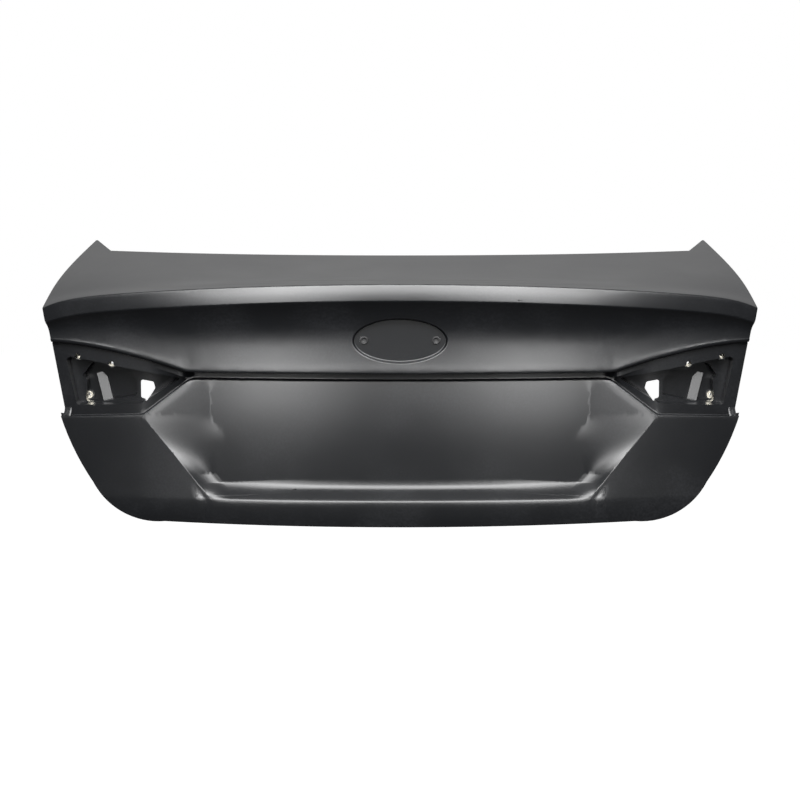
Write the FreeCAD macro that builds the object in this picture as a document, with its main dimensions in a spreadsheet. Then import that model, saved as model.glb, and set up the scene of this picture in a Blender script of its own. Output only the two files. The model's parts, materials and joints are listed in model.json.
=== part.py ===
import FreeCAD, Part
import math
import os
from FreeCAD import Placement, Rotation, Vector

# Trunk lid of a saloon car, body in black primer, with no lamps, lock or badge fitted.
# X runs to the right seen from behind the car, Y runs forward and Z up. The origin is
# the middle of the four hinge bolts, on the underside of the inner panel's hinge pads.

os.makedirs("parts", exist_ok=True)
doc = FreeCAD.newDocument("TrunkLid")
sheet = doc.addObject("Spreadsheet::Sheet", "Sizes")

# Driving sizes in millimetres. "Depth" is measured forward from the crest line and
# "drop" down from the middle of the crest.
sizes = {
    "lidWidth": 1340,
    "gauge": 0.8,
    "crestBehindHinges": 300,
    "crestBow": 100,
    "crestCrown": 36,
    "shoulderRoll": 15,
    "deckReach": 335,
    "deckRise": 32.5,
    "crestKick": 2.5,
    "crestBand": 24,
    "crestBandLean": 8,
    "frontBow": 55,
    "hornReach": 500,
    "hornHalfSpan": 618.5,
    "hornRootHalfSpan": 578,
    "shoulderDrop": 57,
    "faceHeight": 167,
    "undercut": 20,
    "edgeDepth": 12,
    "grooveHeight": 15,
    "grooveDepth": 42,
    "flangeWidth": 12,
    "lampTipHalfSpan": 398,
    "lampTopHalfSpan": 657,
    "lampFootHalfSpan": 631,
    "lampTopDrop": 116,
    "lampFootDrop": 251,
    "lampKneeHalfSpan": 482,
    "lampKneeDrop": 247,
    "lampRecess": 10,
    "shelfDepth": 24,
    "wellDepth": 44,
    "lidHeight": 452,
    "dishDepth": 42,
    "dishHalfWidth": 355,
    "dishFootHalfSpan": 383,
    "ledgeDrop": 403,
    "lipDepth": 2,
    "cornerHalfSpan": 577,
    "cornerDrop": 378,
    "seamWidth": 15,
    "deckPan": 22,
    "rearPan": 96,
    "panWall": 26,
    "seamGap": 0.4,
    "seamEdge": 1.5,
    "badgeLength": 180,
    "badgeHeight": 88,
    "badgeDrop": 106,
    "badgeDepth": 33,
    "badgeRounding": 2,
    "badgeHoleSpacing": 133,
    "badgeHoleDia": 16,
    "hingeSpan": 960,
    "hingeBoltPitch": 50,
    "hingeHoleDia": 9,
    "hingePadDrop": 8.5,
    "hingePadWidth": 76,
    "hingePadLength": 96,
    "padDraft": 5,
    "padRounding": 12,
    "hingeThreadDia": 6.8,
    "hingeNutWidth": 15,
    "hingeNutHeight": 6.5,
    "lampThreadDia": 5,
    "lampNutBarrel": 9.8,
    "lampNutLength": 8,
    "lampNutFlange": 14,
    "lampNutRim": 1.5,
    "lampPadDia": 19,
    "lampPadRise": 3.4,
    "lampRibWidth": 18,
    "lampRibRise": 9,
    "latchHoleDia": 7,
    "latchThreadDia": 5,
    "latchNutWidth": 11.5,
    "latchNutHeight": 5,
    "latchPitch": 70,
    "latchDrop": 396,
    "latchPadRise": 1.5,
    "latchPadWidth": 128,
    "latchPadHeight": 50,
    "plateGauge": 1.5,
    "plateMargin": 8,
    "plateHoleOver": 2,
    "plugHead": 15.8,
    "plugBarb": 19,
    "plugDish": 8.4,
}
for row, (name, value) in enumerate(sizes.items(), 1):
    sheet.set("A%d" % row, name)
    sheet.set("B%d" % row, str(value))
    sheet.setAlias("B%d" % row, name)
doc.recompute()


def size(name):
    return float(sheet.get(name))


halfWidth = size("lidWidth") / 2
gauge = size("gauge")
toHinges = Vector(0, -size("crestBehindHinges"), size("hingePadDrop") + gauge)


# Sheet metal from nets of points

def knots(count):
    spans = count - 3
    return [float(i) for i in range(spans + 1)], [4] + [1] * (spans - 1) + [4]


def middles(count):
    values, repeats = knots(count)
    flat = [value for value, repeat in zip(values, repeats) for _ in range(repeat)]
    return [sum(flat[i + 1:i + 4]) / 3 for i in range(count)]


def skin(net):
    rowKnots, rowRepeats = knots(len(net))
    columnKnots, columnRepeats = knots(len(net[0]))
    surface = Part.BSplineSurface()
    surface.buildFromPolesMultsKnots(
        net, rowRepeats, columnRepeats, rowKnots, columnKnots, False, False, 3, 3)
    return surface


def inward(net, distance):
    surface = skin(net)
    rowPlaces, columnPlaces = middles(len(net)), middles(len(net[0]))
    return [[point - surface.normal(u, v) * distance for point, v in zip(row, columnPlaces)]
            for row, u in zip(net, rowPlaces)]


def strip(first, second):
    """Straight surface between two rows of points that follow the same knots."""
    places, repeats = knots(len(first))
    surface = Part.BSplineSurface()
    surface.buildFromPolesMultsKnots(
        [first, second], [2, 2], repeats, [0.0, 1.0], places, False, False, 1, 3)
    return surface.toShape()


def layer(net, top, bottom):
    """Solid between two depths under the skin of a net."""
    over, under = inward(net, top), inward(net, bottom)
    faces = [skin(over).toShape(), skin(under).toShape()]
    for a, b in ((over, under), (list(zip(*over)), list(zip(*under)))):
        faces += [strip(list(a[0]), list(b[0])), strip(list(a[-1]), list(b[-1]))]
    shell = Part.makeShell(faces)
    shell.sewShape()
    solid = Part.Solid(shell)
    if solid.Volume < 0:
        solid.reverse()
    return solid


def swept(net, depth, reach):
    """Solid swept from the skin at a depth under a net."""
    solid = skin(inward(net, depth)).toShape().extrude(reach)
    if solid.Volume < 0:
        solid.reverse()
    return solid


def bothSides(half):
    return [-x for x in reversed(half) if x] + half


def prism(points, direction, low, high, rounding=0):
    """Extrusion of an outline given in X and Y (direction Z) or X and Z (direction Y)."""
    if direction == "Z":
        corners = [Vector(a, b, low) for a, b in points]
        reach = Vector(0, 0, high - low)
    else:
        corners = [Vector(a, low, b) for a, b in points]
        reach = Vector(0, high - low, 0)
    solid = Part.Face(Part.makePolygon(corners + corners[:1])).extrude(reach)
    if rounding:
        upright = [edge for edge in solid.Edges
                   if abs(edge.tangentAt(edge.FirstParameter).dot(reach.normalize())) > 0.99]
        solid = solid.makeFillet(rounding, upright)
    return solid


# The lid's outer form, measured from the middle of the crest

def crestDepth(x):
    return size("crestBow") * (x / halfWidth) ** 2


def fall(x, forward):
    crown = size("crestCrown") * (x / halfWidth) ** 2 * math.exp(-forward / 140)
    roll = size("shoulderRoll") * abs(x / halfWidth) ** 16 * math.exp(-forward / 250)
    return crown + roll


def deckPoint(x, forward):
    front = size("hornReach") + 45
    depth = crestDepth(x) + forward * (front - crestDepth(x)) / front
    kick = size("crestKick")
    rise = (size("deckRise") + kick) * (forward / size("deckReach")) ** 1.3
    rise -= kick * (1 - math.exp(-(forward / 32) ** 2))
    return Vector(x, depth, rise - fall(x, forward))


def upperEdgeDrop(x):
    """Lower edge of the upper panel: level over the plate recess, rising over the lamps."""
    along = (abs(x) - size("lampTipHalfSpan")) / (size("lampTopHalfSpan") - size("lampTipHalfSpan"))
    along = min(max(along, 0), 1)
    rise = size("faceHeight") - size("lampTopDrop")
    return size("faceHeight") - rise * (1 - (1 - along) ** 1.7)


def atLamp(x):
    """0 over the plate recess and 1 over the lamps."""
    blend = (abs(x) - size("lampTipHalfSpan") + 12) / 16
    return min(max(blend, 0), 1)


# Rows of the rear face: down the crest band as a share of its height, down the undercut as a
# share of the rest, and last the flat edge, in millimetres from the lower edge
bandForm = [0, 0.12, 0.5, 0.88, 1]
undercutForm = [(0.02, 0.06), (0.08, 0.3), (0.2, 0.72), (0.34, 0.97), (0.48, 0.98), (0.64, 0.8), (0.8, 0.48), (0.9, 0.24)]
edgeForm = [(7, 0.07), (0, 0)]


def facePoint(x, step):
    """Point of the rear face, from the crest (step 0) down its band and undercut to its lower edge."""
    height = upperEdgeDrop(x) - fall(x, 0)
    band = size("crestBand")
    lean = size("crestBandLean") * (1 - 0.9 * abs(x / halfWidth) ** 3)
    below = step - len(bandForm)
    if below < 0:
        drop, depth = band * bandForm[step], -lean * bandForm[step]
    else:
        rows = undercutForm + edgeForm
        place, hollow = rows[below]
        rest = height - band
        drop = band + place * rest if below < len(undercutForm) else height - place
        along = (drop - band) / rest
        fade = 1 - 0.65 * (x / halfWidth) ** 2
        depth = -lean + (size("edgeDepth") + lean) * along + size("undercut") * hollow * fade
    return Vector(x, crestDepth(x) + depth, -fall(x, 0) - drop)


faceSteps = range(len(bandForm) + len(undercutForm) + len(edgeForm))


def upperReturn(x):
    lamp = size("lampRecess") + gauge
    return size("grooveDepth") + (lamp - size("grooveDepth")) * atLamp(x)


deckSteps = [560, 450, 350, 260, 180, 120, 80, 50, 30, 14, 3]
upperColumns = bothSides([0, 60, 130, 200, 260, 310, 345, 368, 380, 388, 396, 404, 416,
                          440, 480, 530, 575, 610, 640, 665, 690])


def upperNet(flange):
    rows = [[deckPoint(x, forward) for x in upperColumns] for forward in deckSteps]
    rows += [[facePoint(x, step) for x in upperColumns] for step in faceSteps]
    if flange:
        edge = rows[-1]
        turn = [3.5, 0.5, -3.5, 0]
        for kind, part in enumerate(turn):
            reach = [upperReturn(x) for x in upperColumns]
            reach = [part if kind == 0 else part * r if kind == 1 else r + part for r in reach]
            rows.append([point + Vector(0, r, 0) for point, r in zip(edge, reach)])
        for down in (3, size("flangeWidth")):
            rows.append([point - Vector(0, 0, down) for point in rows[-1 if down == 3 else -2]])
    else:
        rows.append([point - Vector(0, 0, 8) for point in rows[-1]])
        rows.append([point - Vector(0, 0, 60) for point in rows[-1]])
    return rows


# Outlines that the panels are cut to

sideShoulder = Vector(halfWidth - 2, 107, -size("shoulderDrop"))
sideHorn = Vector(size("hornHalfSpan"), size("hornReach"), 51)
sideLamp = Vector(size("lampTopHalfSpan"), 104, -size("lampTopDrop"))


def beyondSide(inset):
    """Everything outside the slanting side edge, on both sides."""
    normal = (sideLamp - sideShoulder).cross(sideHorn - sideShoulder).normalize()
    if normal.x < 0:
        normal = -normal
    start = sideShoulder - normal * inset
    block = Part.makeBox(300, 1600, 1600, Vector(0, -800, -800))
    block.Placement = Placement(start, Rotation(Vector(1, 0, 0), normal))
    return block.fuse(block.mirror(Vector(), Vector(1, 0, 0)))


def closedFace(arcs, corners):
    """Face inside arcs, each through three points, and the lines that close them."""
    edges = [Part.Arc(*three).toShape() for three in arcs]
    edges += [Part.makeLine(a, b) for a, b in zip(corners, corners[1:])]
    return Part.Face(Part.Wire(Part.__sortEdges__(edges)))


def deckRegion(inset):
    """Upright prism of the deck's plan, with its bowed front edge and the two horns."""
    root, low = size("hornRootHalfSpan") + inset, -600
    rootDepth = size("deckReach") + size("frontBow") * (size("hornRootHalfSpan") / 500) ** 2 - inset
    tip = Vector(size("hornHalfSpan") - 3 + inset, size("hornReach") - inset, low)
    half = [Vector(root, rootDepth, low), tip, Vector(800, tip.y, low), Vector(800, -300, low)]
    corners = half + [Vector(-p.x, p.y, low) for p in reversed(half)]
    front = (corners[-1], Vector(0, size("deckReach") - inset, low), corners[0])
    return closedFace([front], corners).extrude(Vector(0, 0, 800)).cut(beyondSide(inset))


def lowerOutline():
    """Rear view of the lower panel's edge, from the middle of its foot up to the lamp."""
    corner, drop = size("cornerHalfSpan"), size("cornerDrop")
    foot = size("lidHeight")
    return [(0, foot), (220, foot - 1.1), (440, foot - 4.5), (corner - 49, foot - 23),
            (corner, drop), (corner + 41, drop - 69), (corner + 64, size("lampFootDrop"))]


def lowerRegion(inset, low=-200, high=500):
    points = [Vector(x, low, -drop) for x, drop in lowerOutline()]
    around = [Vector(-points[1].x, low, points[1].z)] + points + [points[-1] + Vector(12, 0, 40)]
    moved = []
    for before, point, after in zip(around, points, around[2:]):
        along = (after - before).normalize()
        moved.append(point + Vector(-along.z, 0, along.x) * inset)
    mirrored = [Vector(-p.x, p.y, p.z) for p in moved]
    arcs = [(mirrored[2], moved[0], moved[2]), tuple(moved[2:5]), tuple(moved[4:7]),
            tuple(mirrored[2:5]), tuple(mirrored[4:7])]
    notch = Vector(size("lampFootHalfSpan") - inset - 1, low, moved[-1].z - 1)
    side = [moved[-1], notch, notch + Vector(40, 0, 150)]
    corners = side + [Vector(-p.x, p.y, p.z) for p in reversed(side)]
    return closedFace(arcs, corners).extrude(Vector(0, high - low, 0))


# The lower panel: number plate recess, wings and lip

def lowerTop(share):
    """Top end of a column of the lower panel, from the recess (0) to the wing (1)."""
    tip, knee = size("lampTipHalfSpan") - 5, size("lampKneeHalfSpan")
    grooveFoot = size("faceHeight") + size("grooveHeight")
    if share < 0.3:
        return size("dishHalfWidth") + (tip - size("dishHalfWidth")) * share / 0.3, grooveFoot
    along = (share - 0.3) / 0.7
    return tip + (knee - tip) * along, grooveFoot + (size("lampKneeDrop") + 2 - grooveFoot) * along


innerColumns = [0, 80, 160, 230, 280, 315, 338]
wallShares = [0, 0.12, 0.25, 0.34, 0.45, 0.6, 0.75, 0.87, 0.94, 1.0]
wingShares = [0.04, 0.1, 0.25, 0.5, 0.75, 1.0]
dropShares = [0, 0.05, 0.14, 0.28, 0.45, 0.64, 0.82, 1.0]
dishForm = [0, -1.5, -4, -6.3, -8, -9.2, -9.9, -10]
ledgeForm = [(-28, 1.0), (-20, 0.93), (-14, 0.7), (-8, 0.36), (-3, 0.1), (0, 0), (4, 0), (12, 0), (24, 0),
             (38, 0), (60, 0)]


def lowerColumns():
    """Top point, foot half-span and share of recess depth of each column."""
    grooveFoot = size("faceHeight") + size("grooveHeight")
    flat, foot = size("dishHalfWidth"), size("dishFootHalfSpan")
    columns = [(x, grooveFoot, x, 1.0) for x in innerColumns]
    for share in wallShares:
        x, drop = lowerTop(share)
        columns.append((x, drop, flat + (foot - flat) * share, 1 - share))
    kneeX, kneeDrop = lowerTop(1)
    for share in wingShares:
        drop = kneeDrop + 8 * share
        columns.append((kneeX + share * 180, drop, foot + share * (kneeX + 180 - foot), 0.0))
    return columns


def wingDepth(drop):
    """Skin of the wings and the lip, a little further out towards the foot."""
    top, ledge = size("lampFootDrop"), size("ledgeDrop")
    if drop < ledge:
        along = (drop - top) / (ledge - top)
        return size("edgeDepth") - 1 + (size("lipDepth") - size("edgeDepth") + 1) * along
    return size("lipDepth") + 4 * ((drop - ledge) / 50) ** 2


def lowerNet():
    bend = size("ledgeDrop") - 36
    flat = []
    for topX, topDrop, footX, recess in lowerColumns():
        column = []
        for share, lean in zip(dropShares, dishForm):
            drop = topDrop + (bend - topDrop) * share
            x = topX + (footX - topX) * share
            depth = wingDepth(drop) + (size("dishDepth") + lean - wingDepth(drop)) * recess
            column.append((x, depth, drop))
        for below, share in ledgeForm:
            drop = size("ledgeDrop") + below
            full = size("dishDepth") - 10
            depth = wingDepth(drop) + (full - wingDepth(drop)) * recess * share
            column.append((footX, depth, drop))
        x, depth, drop = column[0]
        back = size("edgeDepth") + size("grooveDepth") + gauge
        lampBack = depth + size("lampRecess") + gauge
        back = max(back + (lampBack - back) * atLamp(x), depth + 9)
        up = [(x, depth + 3, drop), (x, back - 3, drop), (x, back, drop), (x, back, drop - 3),
              (x, back, drop - size("flangeWidth"))]
        column = list(reversed(up)) + column
        flat.append(column)
    half = [[Vector(x, crestDepth(x) + depth, -drop) for x, depth, drop in column] for column in flat]
    mirrored = [[Vector(-p.x, p.y, p.z) for p in column] for column in reversed(half[1:])]
    columns = mirrored + half
    return [list(row) for row in zip(*columns)]


# The lamp frame: a band set back from both panels

def lampEdge(x):
    """Depth and drop of the skin at the upper and the lower side of a lamp."""
    x = abs(x)
    knee, tip = size("lampKneeHalfSpan"), size("lampTipHalfSpan") - 5
    grooveFoot = size("faceHeight") + size("grooveHeight")
    upper = (size("edgeDepth"), upperEdgeDrop(x))
    if x > knee:
        drop = size("lampKneeDrop") + 2 + 8 * min((x - knee) / 180, 1.1)
        return upper, (wingDepth(drop), drop)
    along = (x - tip) / (knee - tip)
    drop = grooveFoot + (size("lampKneeDrop") + 2 - grooveFoot) * along
    share = 0.3 + 0.7 * along
    depth = wingDepth(drop) + (size("dishDepth") - wingDepth(drop)) * (1 - share)
    return upper, (depth, drop)


def lampNet():
    columns = [375, 388, 400, 420, 445, 475, 490, 520, 570, 620, 660, 700]
    rows = []
    for share in (-0.5, -0.2, 0, 0.3, 0.6, 0.8, 1.0, 1.2, 1.5):
        row = []
        for x in reversed(columns):
            (topDepth, topDrop), (footDepth, footDrop) = lampEdge(x)
            depth = topDepth + (footDepth - topDepth) * min(max(share, 0), 1)
            drop = topDrop + (footDrop - topDrop) * share
            row.append(Vector(-x, crestDepth(x) + depth + size("lampRecess"), -drop))
        rows.append(row)
    return rows


def addNode(name, shape, place=toHinges):
    node = doc.addObject("Part::Feature", name)
    node.Label = name
    node.Shape = shape
    node.Placement = Placement(place, Rotation()).multiply(node.Placement)
    return node


# Outer panels

upperPanel = layer(upperNet(True), 0, gauge).common(deckRegion(0))
lowerPanel = layer(lowerNet(), 0, gauge).common(lowerRegion(0))


# Badge recess: an oval with a flat floor, pressed into the upper panel

def alongY(width, length, at):
    return Part.makeCylinder(width / 2, length, at, Vector(0, 1, 0))


def ovalCone(length, height, inset, front, back):
    """Oval prism along Y that narrows by an inset from front to back."""
    centre = Vector(0, 0, -size("badgeDrop"))
    wires = []
    for depth, less in ((front, 0), (back, inset)):
        major, minor = length / 2 - less, height / 2 - less
        oval = Part.Ellipse(centre + Vector(major, depth, 0), centre + Vector(0, depth, minor),
                            centre + Vector(0, depth, 0))
        wires.append(Part.Wire([oval.toShape()]))
    return Part.makeLoft(wires, True, True)


def badgeRecess(panel):
    """Panel with the recess pressed in, its rim and the foot of its wall rounded."""
    length, height = size("badgeLength"), size("badgeHeight")
    floor, draft, front, rounding = size("badgeDepth"), 4, -15, size("badgeRounding")
    hollow = ovalCone(length, height, draft, front, floor)
    rim = 2 * (rounding + 2 * gauge)
    shell = ovalCone(length + rim, height + rim, draft, front, floor + gauge)
    around = Part.makeBox(length + 60, 200, height + 40,
                          Vector(-length / 2 - 30, -60, -size("badgeDrop") - height / 2 - 20))
    block = swept(upperFace, 0, Vector(0, 120, 0)).common(around).cut(hollow)
    ovals = [edge for edge in block.Edges if 0.9 * length < edge.BoundBox.XLength < 1.1 * length]
    ring = block.makeFillet(rounding, ovals).common(shell)
    panel = panel.cut(shell).fuse(ring)
    for side in (-1, 1):
        hole = alongY(size("badgeHoleDia"), 20,
                      Vector(side * size("badgeHoleSpacing") / 2, floor - 8, -size("badgeDrop")))
        panel = panel.cut(hole)
    return panel


upperFace = upperNet(False)


# Lamp pocket, the left one; the right one mirrors it

def insetOutline(points, distance):
    """Outline moved inwards, side by side; points run anticlockwise."""
    count = len(points)
    lines = []
    for i in range(count):
        (ax, az), (bx, bz) = points[i], points[(i + 1) % count]
        length = math.hypot(bx - ax, bz - az)
        nx, nz = -(bz - az) / length, (bx - ax) / length
        lines.append((nx, nz, nx * ax + nz * az + distance))
    moved = []
    for i in range(count):
        (a, b, c), (d, e, f) = lines[i - 1], lines[i]
        det = a * e - b * d
        moved.append(((c * e - b * f) / det, (a * f - c * d) / det))
    return moved


def roundedWire(points, depth, rounding):
    """Closed wire in a plane across Y, with its corners rounded as far as their sides allow."""
    corners = [Vector(x, depth, z) for x, z in points]
    edges, count = [], len(corners)
    starts, ends = [], []
    for i in range(count):
        corner = corners[i]
        back, ahead = corners[i - 1] - corner, corners[(i + 1) % count] - corner
        room = 0.42 * min(back.Length, ahead.Length)
        half = back.getAngle(ahead) / 2
        radius = min(rounding, room * math.tan(half))
        reach = radius / math.tan(half)
        back.normalize()
        ahead.normalize()
        inner = corner + (back + ahead).normalize() * radius / math.sin(half)
        middle = inner + (corner - inner).normalize() * radius
        starts.append(corner + back * reach)
        ends.append(corner + ahead * reach)
        edges.append(Part.Arc(starts[-1], middle, ends[-1]).toShape())
    sides = [Part.makeLine(ends[i - 1], starts[i]) for i in range(count)]
    ordered = [edge for pair in zip(sides, edges) for edge in pair]
    return Part.Wire(ordered)


def drafted(points, front, back, inset, rounding):
    solid = Part.makeLoft([roundedWire(points, front, rounding),
                           roundedWire(insetOutline(points, inset), back, rounding)], True, True)
    if solid.Volume < 0:
        solid.reverse()
    return solid


def lampFrameOutline(gap):
    spans = [400, 408, 420, 440, 470, 510, 550, 590, 625]
    top = [(-x, -(upperEdgeDrop(x) + gap)) for x in spans]
    side = [(-size("lampTopHalfSpan") + 1.5, -(size("lampTopDrop") + gap)),
            (-size("lampFootHalfSpan") + 0.5, -(lampEdge(631)[1][1] - gap))]
    low = [(-x, -(lampEdge(x)[1][1] - gap)) for x in (560, 483, 474, 400)]
    return top + side + low


lampOpening = [(-404, -187), (-406, -172.5), (-503, -155.5), (-578, -140), (-645, -128.5),
               (-617.5, -247), (-482, -236.5)]
lampWell = [(-489, -186), (-504, -164), (-536, -164), (-584, -148), (-611, -184), (-599, -192),
            (-602, -239), (-560, -236), (-489, -220)]
harnessHole = [(-463, -190), (-487, -186), (-487, -220), (-474, -224), (-460, -202)]
lampRibTop, lampRibFoot = (-566, -176), (-551, -231)
lampNutPlaces = [(-606.2, -142.5, "shelfDepth"), (-541.5, -155.5, "shelfDepth"),
                 (-589.5, -219.5, "wellDepth")]


def lampFloor(x, z, depth):
    """Front face of the pocket's floor at a depth behind the lamp frame."""
    (topDepth, topDrop), (footDepth, footDrop) = lampEdge(x)
    share = min(max((-z - topDrop) / (footDrop - topDrop), 0), 1)
    return (crestDepth(x) + topDepth + (footDepth - topDepth) * share
            + size("lampRecess") + depth * 1.03)


def lampNutSeats():
    """Middle of the front face of each nut's pad."""
    return [Vector(x, lampFloor(x, z, size(level)) - size("lampPadRise"), z)
            for x, z, level in lampNutPlaces]


def lampRib(behind):
    """Ramp pressed out of the well's floor, standing further out towards its foot."""
    across = Vector(math.cos(math.radians(15)), 0, math.sin(math.radians(15))) * size("lampRibWidth") / 2
    wires = []
    for (x, z), rise in ((lampRibTop, 0.2), (lampRibFoot, size("lampRibRise"))):
        floor = lampFloor(x, z, size("wellDepth")) + behind
        middle = Vector(x, floor, z)
        out = Vector(0, -rise - behind, 0)
        corners = [middle - across + Vector(0, 3, 0), middle + across + Vector(0, 3, 0), middle + across + out,
                   middle - across + out]
        wires.append(Part.makePolygon(corners + corners[:1]))
    rib = Part.makeLoft(wires, True, True)
    if rib.Volume < 0:
        rib.reverse()
    return rib


def lampPocket():
    net = lampNet()
    shelf, well = size("shelfDepth"), size("wellDepth")
    draft = 6
    openOuter = drafted(insetOutline(lampOpening, -gauge), -20, 160, 16, 8)
    openInner = drafted(lampOpening, -20, 160, 16, 7)
    wellOuter = drafted(insetOutline(lampWell, -gauge), 40, 180, 12, 7)
    wellInner = drafted(lampWell, 40, 180, 12, 6)
    keep = openOuter.common(layer(net, -5, shelf + gauge))
    keep = keep.fuse(wellOuter.common(layer(net, 5, well + gauge)))
    hollow = openInner.common(layer(net, -6, shelf))
    hollow = hollow.fuse(wellInner.common(layer(net, 2, well)))
    pocket = layer(net, 0, well + gauge).common(prism(lampFrameOutline(3), "Y", -100, 400))
    pocket = pocket.cut(layer(net, gauge, well + 3).cut(keep)).cut(hollow)
    pocket = pocket.cut(prism(harnessHole, "Y", 0, 300, 4))
    pocket = pocket.fuse(lampRib(0))
    for place in lampNutSeats():
        pad = Part.makeCylinder(size("lampPadDia") / 2, size("lampPadRise") + 3, place, Vector(0, 1, 0))
        pocket = pocket.fuse(pad)
    for place in lampNutSeats():
        pocket = pocket.cut(Part.makeCylinder(size("lampNutBarrel") / 2 + 0.1, 60,
                                              place - Vector(0, 30, 0), Vector(0, 1, 0)))
    return pocket


# Inner panel: a pan behind both outer panels, with its flange laid against them

innerSpans = [0, 0.12, 0.24, 0.36, 0.48, 0.6, 0.7, 0.79, 0.87, 0.94, 1.0]
wallForm = [(0.22, 0.12), (0.78, 0.88), (1.0, 1.0)]


def sideSpan(depth, drop):
    """Half-width of the lid at a place on its edge."""
    top, foot = size("lampTopDrop"), size("lampFootDrop")
    if drop <= top:
        normal = (sideLamp - sideShoulder).cross(sideHorn - sideShoulder)
        return sideShoulder.x - (normal.y * (depth - sideShoulder.y)
                                 + normal.z * (-drop - sideShoulder.z)) / normal.x
    topSpan, footSpan = size("lampTopHalfSpan"), size("lampFootHalfSpan")
    if drop < foot + 4:
        return topSpan + (footSpan - topSpan) * (drop - top) / (foot - top)
    points = [(d, x) for x, d in reversed(lowerOutline())]
    for (d0, x0), (d1, x1) in zip(points, points[1:]):
        if drop <= d1:
            return x0 + (x1 - x0) * (drop - d0) / (d1 - d0)
    return points[-3][1]


def faceDepth(x, drop):
    """Depth of the upper panel's rear face at a drop."""
    points = [facePoint(x, step) for step in faceSteps]
    for above, below in zip(points, points[1:]):
        if -below.z >= drop:
            share = (drop + above.z) / max(above.z - below.z, 0.01)
            return above.y + (below.y - above.y) * max(share, 0)
    return points[-1].y


def rearDepth(x, drop):
    """Depth of the lid's outer form on its rear side, lamps included."""
    (topDepth, topDrop), (footDepth, footDrop) = lampEdge(max(abs(x), size("lampKneeHalfSpan")))
    if drop < topDrop:
        return faceDepth(x, drop)
    if drop < footDrop:
        share = (drop - topDrop) / (footDrop - topDrop)
        return crestDepth(x) + topDepth + (footDepth - topDepth) * share + size("lampRecess")
    return crestDepth(x) + wingDepth(drop)


def underDeck(x, depth, below):
    front = size("hornReach") + 45
    forward = (depth - crestDepth(x)) * front / (front - crestDepth(x))
    return deckPoint(x, max(forward, 0)) - Vector(0, 0, below)


def frontDepth(x):
    return size("deckReach") + size("frontBow") * (x / 500) ** 2


def footDrop(x):
    return size("lidHeight") - 4.5 * (x / 440) ** 2


def innerRows():
    """Rows of the pan: kind of row, place along the lid and share of the end wall."""
    seam, wall, edge = size("seamWidth"), size("panWall"), size("seamEdge")
    rows = [("front", -edge, 1), ("front", -seam / 2, 1), ("front", 3 - seam, 1), ("front", -seam, 1)]
    rows += [("front", -seam - wall * along, 1 - share) for along, share in wallForm]
    rows += [("deck", 262, 0), ("deck", 215, 0), ("deck", 170, 0)]
    rows += [("bend", 0, 0), ("bend", 1, 0), ("bend", 2, 0)]
    rows += [("rear", drop, 0) for drop in (68, 82, 97, 109, 121, 135, 180, 225, 243, 258, 272,
                                            310, 350, 385)]
    rows += [("foot", seam + wall * (1 - along), share) for along, share in wallForm]
    rows += [("foot", seam - 3, 1), ("foot", seam / 2, 1), ("foot", edge, 1)]
    return rows


def innerPoint(kind, place, endWall, x, sideWall):
    """Point of the inner panel: on the flange where a wall is 1 and on the pan where it is 0."""
    wall = max(endWall, sideWall)
    under = gauge + size("seamGap")
    if kind in ("rear", "foot"):
        drop = place if kind == "rear" else footDrop(x) - place
        flange = rearDepth(x, drop) + under
        pan = crestDepth(x) * 0.9 + size("rearPan")
        return Vector(x, pan + (flange - pan) * wall, -drop)
    if kind == "bend":
        forward, below = ((58, 0), (14, 0), (0, 10))[place]
        if below:
            drop = fall(x, 0) + below
            flange = Vector(x, faceDepth(x, drop) + under, -drop)
        else:
            flange = deckPoint(x, forward) - Vector(0, 0, under)
        pan = Vector(x, crestDepth(x) * 0.9 + size("rearPan") + (36, 12, 1)[place],
                     -fall(x, 60) - size("deckPan") - (0, 1.5, 6)[place])
        return pan + (flange - pan) * wall
    if kind == "deck":
        depth = place + crestDepth(x) * (size("deckReach") - place) / size("deckReach")
    else:
        depth = frontDepth(x) + place
    return underDeck(x, depth, size("deckPan") + (under - size("deckPan")) * wall)


def innerNet():
    rows, seam = [], size("seamWidth")
    for kind, place, endWall in innerRows():
        span = halfWidth - 40
        for _ in range(3):
            edge = innerPoint(kind, place, endWall, span, 1)
            span = sideSpan(edge.y, -edge.z)
        flat = span - seam - size("panWall")
        half = [(flat * share, 0) for share in innerSpans]
        half += [(flat + size("panWall") * along, share) for along, share in wallForm]
        half += [(span - seam + 3, 1), (span - seam / 2, 1), (span - size("seamEdge"), 1)]
        row = [innerPoint(kind, place, endWall, x, sideWall) for x, sideWall in half]
        rows.append([Vector(-p.x, p.y, p.z) for p in reversed(row[1:])] + row)
    return rows


# Openings in the inner panel, for weight and for reaching the lamps, lock and badge

deckOpening = [(-70, 150), (-70, 262), (-400, 292), (-410, 240), (-330, 178)]
wallOpening = [(-70, -170), (-70, -72), (-420, -92), (-405, -170)]
dishOpening = [(-110, -372), (-110, -232), (-400, -232), (-385, -372)]
lampAccess = [(-452, -178), (-500, -148), (-590, -140), (-603, -158), (-590, -236), (-470, -236)]


def mirrored(points):
    return [(-a, b) for a, b in reversed(points)]


def bothPrisms(points, direction, low, high, rounding):
    return [prism(outline, direction, low, high, rounding) for outline in (points, mirrored(points))]


def hingePlaces():
    span, pitch = size("hingeSpan") / 2, size("hingeBoltPitch") / 2
    middle = size("crestBehindHinges")
    return [[Vector(side * span, middle + step * pitch, 0) for step in (-1, 1)] for side in (-1, 1)]


def latchPlaces():
    return [Vector(side * size("latchPitch") / 2, 0, -size("latchDrop")) for side in (-1, 1)]


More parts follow.
